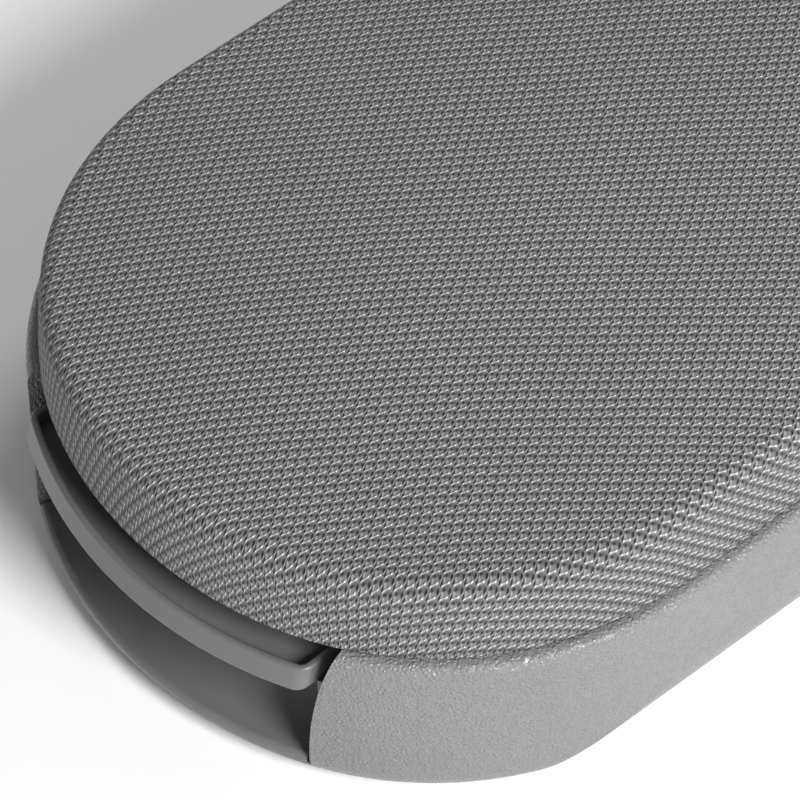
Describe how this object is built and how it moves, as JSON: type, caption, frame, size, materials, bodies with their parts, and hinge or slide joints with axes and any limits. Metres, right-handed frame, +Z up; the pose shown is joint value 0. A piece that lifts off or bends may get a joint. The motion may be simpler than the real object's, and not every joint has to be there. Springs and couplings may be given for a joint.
{
  "type": "padded storage armrest",
  "caption": "Padded armrest with a round nose: mesh fabric lid over a shallow storage tub, hinged at the rear and opened by a curved front release lever above a finger scoop.",
  "frame": {"origin": "centre of the four mounting inserts, on the flat underside", "axes": "+X to the right, +Y to the rear hinge, +Z up out of the pad; the round nose points to -Y"},
  "size_m": [0.1252, 0.2934, 0.054],
  "materials": {
    "grained_plastic": "leather-grained moulded polypropylene, mid grey",
    "smooth_plastic": "smooth satin moulded plastic, grey",
    "inner_plastic": "fine matt black moulded plastic",
    "mesh_fabric": "grey knitted spacer mesh with a diamond pattern",
    "pad_foam": "open-cell polyurethane foam",
    "mat_rubber": "matt black rubber",
    "bush_plastic": "natural acetal",
    "zinc_steel": "zinc-plated steel",
    "bright_steel": "ground bright steel",
    "insert_brass": "turned brass"
  },
  "bodies": {
    "base": {"base_shell": "grained_plastic", "finger_scoop": "smooth_plastic", "deck_screws": "zinc_steel", "keeper_plate": "zinc_steel", "keeper_screws": "zinc_steel", "storage_tray": "inner_plastic", "tray_mat": "mat_rubber", "tray_screws": "zinc_steel", "threaded_inserts": "insert_brass", "bump_stops": "mat_rubber", "hinge_base_leaf": "zinc_steel", "hinge_base_screws": "zinc_steel", "hinge_pin": "bright_steel"},
    "lid": {"pad_carrier": "inner_plastic", "foam_pad": "pad_foam", "fabric_cover": "mesh_fabric", "staples": "zinc_steel", "inner_panel": "inner_plastic", "panel_screws": "zinc_steel", "hinge_lid_leaf": "zinc_steel", "hinge_lid_screws": "zinc_steel", "hinge_bushes": "bush_plastic", "lever_bracket": "zinc_steel", "bracket_screws": "zinc_steel", "lever_pin": "bright_steel", "return_spring": "bright_steel"},
    "lever": {"release_lever": "smooth_plastic", "latch_hook": "zinc_steel", "hook_rivets": "zinc_steel"}
  },
  "joints": [
    {"name": "lid_hinge", "type": "hinge", "parent": "base", "child": "lid", "pos_m": [0, 0.1465, 0.0334], "axis": [-1, 0, 0], "range_deg": [0, 85]},
    {"name": "release_lever_pivot", "type": "hinge", "parent": "lid", "child": "lever", "pos_m": [0, -0.11401, 0.0284], "axis": [-1, 0, 0], "range_deg": [0, 10], "stiffness_Nm_per_rad": 0.06, "springref_deg": -20.05, "deforming": ["return_spring"]}
  ]
}
